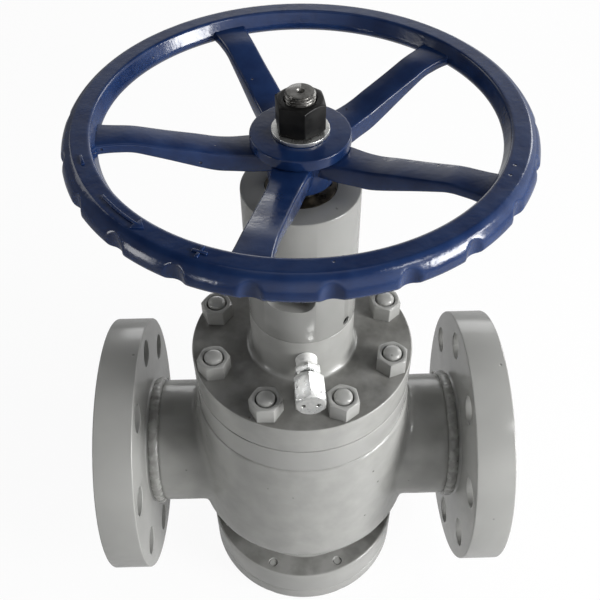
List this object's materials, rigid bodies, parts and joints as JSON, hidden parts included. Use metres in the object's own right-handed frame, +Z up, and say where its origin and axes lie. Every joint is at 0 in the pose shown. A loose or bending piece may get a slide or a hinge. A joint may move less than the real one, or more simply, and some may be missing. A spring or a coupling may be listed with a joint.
{
  "type": "flanged throttle globe valve",
  "caption": "Flanged throttling globe valve with a bolted bonnet, tube yoke, rising stem and a spoked handwheel that lifts a caged plug off its seat.",
  "frame": {"origin": "centre of the foot cover's underside, on the stem axis", "axes": "+Z up along the stem, +X along the pipe from the inlet to the outlet"},
  "size_m": [0.3174, 0.274, 0.4845],
  "materials": {
    "grey_enamel": "glossy grey enamel over steel castings, with ripples and runs",
    "blue_enamel": "glossy dark blue enamel over cast iron",
    "black_oxide": "black oxide, satin",
    "zinc_plate": "bright zinc plate",
    "stainless": "machined stainless steel",
    "hard_steel": "hard faced steel, ground",
    "bronze": "machined bronze",
    "graphite": "pressed graphite, matt",
    "ptfe": "white sealing polymer, matt"
  },
  "bodies": {
    "valve_body": {"backseat_bush": "hard_steel", "body": "grey_enamel", "bonnet": "grey_enamel", "bonnet_gasket": "graphite", "bonnet_nut_1": "grey_enamel", "bonnet_nut_2": "grey_enamel", "bonnet_nut_3": "grey_enamel", "bonnet_nut_4": "grey_enamel", "bonnet_nut_5": "grey_enamel", "bonnet_nut_6": "grey_enamel", "bonnet_nut_7": "grey_enamel", "bonnet_nut_8": "grey_enamel", "bonnet_stud_1": "grey_enamel", "bonnet_stud_2": "grey_enamel", "bonnet_stud_3": "grey_enamel", "bonnet_stud_4": "grey_enamel", "bonnet_stud_5": "grey_enamel", "bonnet_stud_6": "grey_enamel", "bonnet_stud_7": "grey_enamel", "bonnet_stud_8": "grey_enamel", "fitting_cap": "zinc_plate", "fitting_nipple": "zinc_plate", "fitting_tape": "ptfe", "foot_cover": "grey_enamel", "foot_gasket": "graphite", "foot_screw_1": "black_oxide", "foot_screw_2": "black_oxide", "foot_screw_3": "black_oxide", "foot_screw_4": "black_oxide", "foot_screw_5": "black_oxide", "foot_screw_6": "black_oxide", "foot_screw_7": "black_oxide", "foot_screw_8": "black_oxide", "gland": "stainless", "gland_nut": "zinc_plate", "inlet_flange": "grey_enamel", "inlet_weld": "grey_enamel", "lantern_ring": "stainless", "outlet_flange": "grey_enamel", "outlet_weld": "grey_enamel", "packing_ring_1": "graphite", "packing_ring_2": "graphite", "packing_ring_3": "graphite", "packing_ring_4": "graphite", "packing_washer": "stainless", "seat_gasket": "graphite", "seat_ring": "hard_steel", "throttle_cage": "stainless", "yoke": "grey_enamel", "yoke_lock_screw": "black_oxide", "yoke_nut": "bronze"},
    "plug_unit": {"plug": "stainless", "plug_seal": "ptfe", "plug_lock_nut": "hard_steel"},
    "stem_and_wheel": {"stem": "stainless", "handwheel": "blue_enamel", "wheel_washer": "zinc_plate", "wheel_nut": "black_oxide"}
  },
  "joints": [
    {"name": "plug_lift", "type": "slide", "parent": "valve_body", "child": "plug_unit", "axis": [0, 0, 1], "range_m": [0, 0.025]},
    {"name": "stem_turn", "type": "hinge", "parent": "plug_unit", "child": "stem_and_wheel", "pos_m": [0, 0, 0.44], "axis": [0, 0, 1], "range_deg": [0, 1800]}
  ],
  "couplings": [
    {"joint": "plug_lift", "follows": "stem_turn", "m_per_rad": 0.00079577}
  ]
}
